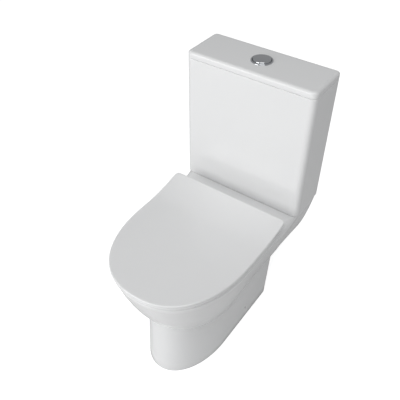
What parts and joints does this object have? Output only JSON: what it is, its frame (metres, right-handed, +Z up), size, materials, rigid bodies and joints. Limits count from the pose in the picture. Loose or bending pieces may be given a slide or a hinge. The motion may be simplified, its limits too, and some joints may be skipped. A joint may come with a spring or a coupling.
{
  "type": "close coupled toilet",
  "caption": "White china toilet: hollow pedestal pan, square slab cistern with a push button on its lift-off lid, and a slim wrap-over seat and lid.",
  "frame": {"origin": "on the floor, under the middle of the whole toilet's bounding box", "axes": "+Z up; the nose of the bowl points to -Y and the wall is at +Y; x = 0 is the middle plane of pan, cistern and seat"},
  "size_m": [0.37, 0.609, 0.7986],
  "materials": {
    "china_glaze": "glossy white glaze",
    "seat_white": "smooth white thermoset",
    "chrome": "polished",
    "valve_white": "moulded",
    "valve_blue": "moulded",
    "rubber_black": "matt",
    "buffer_grey": "soft, pale grey",
    "steel": "plain",
    "brass": "plain"
  },
  "bodies": {
    "pan_and_cistern": {"pan": "china_glaze", "cistern_body": "china_glaze", "coupling_gasket": "rubber_black", "coupling_bolt_left": "brass", "coupling_bolt_right": "brass", "bolt_washer_left": "rubber_black", "bolt_washer_right": "rubber_black", "wing_nut_left": "brass", "wing_nut_right": "brass", "flush_valve_body": "valve_white", "flush_valve_washer": "rubber_black", "flush_valve_backnut": "valve_white", "fill_valve_body": "valve_white", "fill_valve_washer": "rubber_black", "fill_valve_backnut": "valve_white", "hinge_post_left": "chrome", "hinge_post_right": "chrome", "hinge_pin_left": "chrome", "hinge_pin_right": "chrome", "seat_bolt_left": "steel", "seat_bolt_right": "steel", "seat_washer_left": "rubber_black", "seat_washer_right": "rubber_black", "seat_nut_left": "valve_white", "seat_nut_right": "valve_white", "floor_block_left": "valve_white", "floor_block_right": "valve_white", "side_screw_left": "steel", "side_screw_right": "steel", "side_cap_left": "chrome", "side_cap_right": "chrome"},
    "lift_off_lid": {"cistern_lid": "china_glaze", "button_bezel": "chrome", "button_nut": "valve_white", "button_guide": "valve_white", "button_spring": "steel"},
    "button": {"flush_button": "chrome", "button_rod": "valve_white"},
    "flush_lift": {"overflow_tube": "valve_blue", "flush_seal": "rubber_black"},
    "float": {"fill_valve_float": "valve_blue", "float_screw": "valve_white"},
    "fill_arm": {"fill_valve_arm": "valve_blue"},
    "ring": {"seat_ring": "seat_white", "ring_buffer_front_left": "buffer_grey", "ring_buffer_front_right": "buffer_grey", "ring_buffer_rear_left": "buffer_grey", "ring_buffer_rear_right": "buffer_grey"},
    "lid": {"seat_lid": "seat_white", "lid_buffer_left": "buffer_grey", "lid_buffer_right": "buffer_grey"}
  },
  "joints": [
    {"name": "ring_hinge", "type": "hinge", "parent": "pan_and_cistern", "child": "ring", "pos_m": [0, 0.102, 0.4165], "axis": [-1, 0, 0], "range_deg": [0, 98]},
    {"name": "lid_hinge", "type": "hinge", "parent": "ring", "child": "lid", "pos_m": [0, 0.102, 0.4165], "axis": [1, 0, 0], "range_deg": [-98, 0]},
    {"name": "lid_lift", "type": "slide", "parent": "pan_and_cistern", "child": "lift_off_lid", "axis": [0, 0, 1], "range_m": [0, 0.08]},
    {"name": "button_press", "type": "slide", "parent": "lift_off_lid", "child": "button", "axis": [0, 0, -1], "range_m": [0, 0.008], "stiffness_N_per_m": 300, "springref_m": -0.01, "deforming": ["button_spring"]},
    {"name": "valve_lift", "type": "slide", "parent": "pan_and_cistern", "child": "flush_lift", "axis": [0, 0, 1], "range_m": [0, 0.016]},
    {"name": "float_rise", "type": "slide", "parent": "pan_and_cistern", "child": "float", "axis": [0, 0, 1], "range_m": [0, 0.01]},
    {"name": "arm_turn", "type": "hinge", "parent": "pan_and_cistern", "child": "fill_arm", "pos_m": [-0.1015, 0.2365, 0.69], "axis": [0, -1, 0], "range_deg": [0, 20]}
  ],
  "couplings": [
    {"joint": "valve_lift", "follows": "button_press", "ratio": 2},
    {"joint": "arm_turn", "follows": "float_rise", "rad_per_m": 34}
  ]
}
